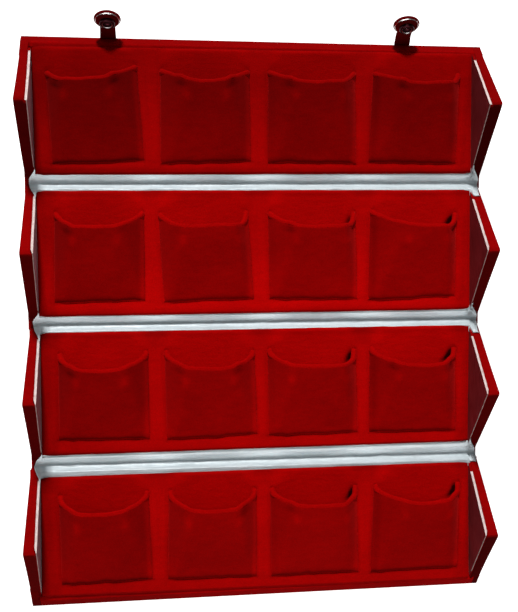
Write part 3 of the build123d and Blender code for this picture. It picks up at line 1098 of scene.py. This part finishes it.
# Turned profiles of the snap's cap and socket: radius and height in mm, and the material's number
SNAP_CAP = (
    (1.5, 0, 1), (6.2, 0, 1), (6.32, -0.22, 1), (6.5, -0.36, 1), (6.7, -0.36, 1),
    (6.88, -0.22, 1), (7, 0, 0), (7.45, 0, 0), (7.7, 0.5, 0), (7.7, 0.9, 0),
    (7.5, 1.5, 0), (7, 2, 0), (5.9, 2.45, 0), (4, 2.75, 0), (1.7, 2.9, 0), (0.4, 2.92, 0),
)
SNAP_SOCKET = (
    (4.4, 0, 0), (4.4, 1.3, 0), (4.2, 1.75, 0), (3.7, 1.98, 0), (3.1, 2, 1), (2.75, 1.95, 1),
    (2.5, 1.7, 0), (2.5, 0.25, 0), (0.5, 0.2, 0),
)


def turned(name, profile, place, axis, materials, steps=48):
    """Turned piece from a profile along an axis, closed at both ends."""
    turn = Vector((0, 0, 1)).rotation_difference(axis).to_matrix() * MM
    rings = []
    for radius, height, _ in profile:
        first, second, middle = (turn @ Vector(way) for way in (
            (radius, 0, 0), (0, radius, 0), (0, 0, height)
        ))
        rings.append(circle(place + middle, first, second, steps))
    built = ring_solid(name, rings, materials)
    for polygon in built.data.polygons:
        band = min(polygon.index // steps, len(profile) - 1)
        polygon.material_index = profile[band][2]
    return built


def box_middle(node):
    """Middle of a node's box."""
    low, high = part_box(node)
    return (Vector(low) + Vector(high)) / 2


def strap(where):
    """Velvet strap, bending where it is sewn in, with the snap on its round end."""
    low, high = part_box(f"strap_{where}")
    hinge = Vector(joints[f"strap_flex_{where}"]["pos_m"])
    disc = (high[0] - low[0]) / 2
    disc_along = (box_middle(f"snap_cap_{where}") - hinge).dot(ALONG)
    socket_middle = (box_middle(f"snap_socket_{where}") - hinge).dot(OUTWARD)
    inner_out = socket_middle + SOCKET_HEIGHT / 2
    spine = [(Vector((0, -2.2, 0.3)) * MM, STRAP_NECK), (Vector((0, -1, 0.1)) * MM, STRAP_NECK)]
    for distance in spread(0.01 * (disc_along + disc), disc_along + disc, 60):
        risen = ease(0, RISE_LENGTH, distance)
        half = sqrt(max(0, disc ** 2 - (distance - disc_along) ** 2))
        if distance < disc_along:
            half = max(half, STRAP_NECK * (1 - 0.05 * risen))
        rise = (inner_out + STRAP_THICKNESS / 2) * risen
        spine.append((ALONG * distance + OUTWARD * rise, max(half, 0.6 * MM)))
    rows = []
    for offset, half in spine:
        row = []
        for share in spread(-1, 1, 15):
            wave = 0.15 * MM * ripple((share * 3 * MM, offset.z / 5, hinge.x), 1, 4.4)
            row.append(hinge + offset + Vector((share * half, 0, 0)) + OUTWARD * wave)
        rows.append(row)
    built = grid_object(f"strap_cloth_{where}", rows, [strap_velvet])
    thicken(built, STRAP_THICKNESS, 0)
    for vertex in built.data.vertices:
        ceiling = ROOT_TOP + 4 * max(0, vertex.co.y - (hinge.y - ROOT_IN))
        vertex.co.z = min(vertex.co.z, ceiling)
    set_tone(built, lambda point: -0.4 * ease(9, 13, point.z / MM))
    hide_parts(f"strap_{where}")
    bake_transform(built)
    inner_face = hinge + ALONG * disc_along + OUTWARD * inner_out
    snap(where, inner_face, inner_face + OUTWARD * STRAP_THICKNESS)


def snap(where, inner_face, outer_face):
    """Cap and socket of a press snap, and the stud it shuts on."""
    cap = turned(
        f"snap_button_{where}", SNAP_CAP, outer_face, OUTWARD, [strap_velvet, snap_rim]
    )
    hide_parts(f"snap_cap_{where}")
    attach(cap, f"strap_{where}")
    socket = turned(
        f"snap_ring_{where}", SNAP_SOCKET, inner_face, -OUTWARD, [snap_enamel, snap_metal]
    )
    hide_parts(f"snap_socket_{where}")
    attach(socket, f"strap_{where}")
    frame["nodes"][f"snap_stud_{where}"].data.materials[0] = snap_metal


for where in ENDS:
    strap(where)

# Floor, lights and camera
WHITE = (1, 1, 1, 1)
FLOOR_GREY = (0.9, 0.9, 0.9, 1)
FLOOR_Z = cad_bounds[0][2] - 0.2 * MM
bpy.ops.mesh.primitive_plane_add(size=6, location=(0, 0, FLOOR_Z))
floor = bpy.context.object
floor.name = "floor"
floor_shader = Shader("floor_white", Roughness=0.9, Base_Color=FLOOR_GREY, Emission_Color=WHITE)
paths = floor_shader.node("ShaderNodeLightPath")
seen = paths.outputs["Is Camera Ray"]
for kind in ("Is Glossy Ray", "Is Transmission Ray"):
    seen = floor_shader.math("MAXIMUM", seen, paths.outputs[kind])
floor.data.materials.append(floor_shader.finish(Emission_Strength=seen))

world = bpy.data.worlds.new("studio")
scene.world = world
world.use_nodes = True
background = world.node_tree.nodes["Background"]
background.inputs["Color"].default_value = WHITE
background.inputs["Strength"].default_value = 0.11


def area_light(name, place, size, power):
    """Soft rectangular lamp aimed at the middle of the box."""
    lamp = bpy.data.lights.new(name, "AREA")
    lamp.shape = "RECTANGLE"
    lamp.size, lamp.size_y = size
    lamp.energy = power
    made = bpy.data.objects.new(name, lamp)
    scene.collection.objects.link(made)
    made.location = place
    made.rotation_euler = (Vector((0, fold_y[2], 0)) - Vector(place)).to_track_quat("-Z", "Y").to_euler()


area_light("key_above", (-0.35, 3.6, 2.4), (0.4, 0.4), 158)
area_light("fill_front", (-0.3, -2.95, 1.6), (2.4, 1.2), 63)

# Camera at the photograph's view: almost straight down, a little left of the middle
CAMERA_PLACE = Vector((-63.7, -3.3, 582)) * MM
CAMERA_AIM = Vector((-0.2, -32.1, 0)) * MM
CAMERA_ROLL = radians(-0.43)
CAMERA_LENS = 57.7
optics = bpy.data.cameras.new("camera")
optics.sensor_fit = "VERTICAL"
optics.sensor_height = 36
optics.lens = CAMERA_LENS
optics.clip_start = 0.01
camera = bpy.data.objects.new("camera", optics)
scene.collection.objects.link(camera)
looking = (CAMERA_AIM - CAMERA_PLACE).normalized()
right = looking.cross(Vector((0, 1, 0))).normalized()
up = right.cross(looking)
facing = Matrix((right, up, -looking)).transposed()
camera.matrix_world = (
    Matrix.Translation(CAMERA_PLACE) @ (facing @ Matrix.Rotation(CAMERA_ROLL, 3, "Z")).to_4x4()
)
scene.camera = camera
scene.view_settings.view_transform = "Standard"
